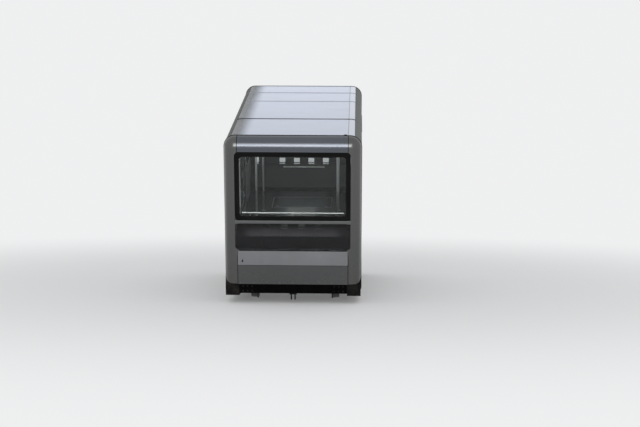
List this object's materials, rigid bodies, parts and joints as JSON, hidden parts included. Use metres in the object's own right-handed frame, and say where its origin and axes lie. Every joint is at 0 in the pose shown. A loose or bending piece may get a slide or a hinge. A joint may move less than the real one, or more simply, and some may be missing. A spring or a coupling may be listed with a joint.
{
  "type": "funicular car",
  "caption": "Level funicular car body in metallic grey with large end windows and sliding side doors, on a wedge chassis with flanged wheels.",
  "frame": {"origin": "midway between the rails at the level of their tops, under the middle of the car", "axes": "+Z plumb up, +Y along the car towards its downhill end, +X across it"},
  "size_m": [2.458, 5.47, 4.0346],
  "materials": {
    "body_grey": "dark grey metallic paint, satin gloss",
    "roof_grey": "pale blue-grey metallic paint",
    "black_border": "black printed border, gloss",
    "clear_glass": "clear safety glass",
    "smoked_glass": "dark tinted glass",
    "trim_metal": "brushed",
    "black_rubber": "matt",
    "floor_covering": "speckled floor covering",
    "ceiling_white": "matt white",
    "lamp_diffuser": "opal diffuser",
    "stainless": "brushed stainless steel",
    "chassis_black": "black chassis paint",
    "case_grey": "dark grey paint",
    "brake_steel": "bare cast iron",
    "wheel_steel": "machined steel, dark web"
  },
  "bodies": {
    "car": {"corner_posts_uphill": "body_grey", "corner_posts_downhill": "body_grey", "roof_fairing_uphill": "body_grey", "roof_fairing_downhill": "body_grey", "window_surround_uphill": "black_border", "window_surround_downhill": "black_border", "windscreen_uphill": "clear_glass", "windscreen_downhill": "clear_glass", "end_strip_uphill": "trim_metal", "end_strip_downhill": "trim_metal", "lower_glass_uphill": "smoked_glass", "lower_glass_downhill": "smoked_glass", "skirt_upper_uphill": "body_grey", "skirt_upper_downhill": "body_grey", "skirt_lower_uphill": "body_grey", "skirt_lower_downhill": "body_grey", "body_seals": "black_rubber", "roof_panels": "roof_grey", "floor": "floor_covering", "ceiling": "ceiling_white", "ceiling_lights": "lamp_diffuser", "handrails": "stainless", "door_tracks": "trim_metal", "cross_members": "chassis_black", "headstocks": "chassis_black", "equipment_cases": "case_grey", "axleboxes": "chassis_black", "track_brakes": "brake_steel", "rope_clevis": "chassis_black", "side_wall_left": "body_grey", "side_wall_right": "body_grey", "side_panes_left": "clear_glass", "side_panes_right": "clear_glass", "side_frame_left": "chassis_black", "side_frame_right": "chassis_black"},
    "door_left_uphill": {"door_leaf_left_uphill": "body_grey", "door_pane_left_uphill": "clear_glass"},
    "door_left_downhill": {"door_leaf_left_downhill": "body_grey", "door_pane_left_downhill": "clear_glass"},
    "door_right_uphill": {"door_leaf_right_uphill": "body_grey", "door_pane_right_uphill": "clear_glass"},
    "door_right_downhill": {"door_leaf_right_downhill": "body_grey", "door_pane_right_downhill": "clear_glass"},
    "wheelset_uphill": {"wheelset_uphill": "wheel_steel"},
    "wheelset_downhill": {"wheelset_downhill": "wheel_steel"}
  },
  "joints": [
    {"name": "door_left_uphill_slide", "type": "slide", "parent": "car", "child": "door_left_uphill", "axis": [0, -1, 0], "range_m": [0, 0.75]},
    {"name": "door_left_downhill_slide", "type": "slide", "parent": "car", "child": "door_left_downhill", "axis": [0, 1, 0], "range_m": [0, 0.75]},
    {"name": "door_right_uphill_slide", "type": "slide", "parent": "car", "child": "door_right_uphill", "axis": [0, -1, 0], "range_m": [0, 0.75]},
    {"name": "door_right_downhill_slide", "type": "slide", "parent": "car", "child": "door_right_downhill", "axis": [0, 1, 0], "range_m": [0, 0.75]},
    {"name": "wheelset_uphill_spin", "type": "hinge", "parent": "car", "child": "wheelset_uphill", "pos_m": [0, -1.69862, 0.61216], "axis": [1, 0, 0], "continuous": true},
    {"name": "wheelset_downhill_spin", "type": "hinge", "parent": "car", "child": "wheelset_downhill", "pos_m": [0, 1.80138, -0.12284], "axis": [1, 0, 0], "continuous": true}
  ]
}
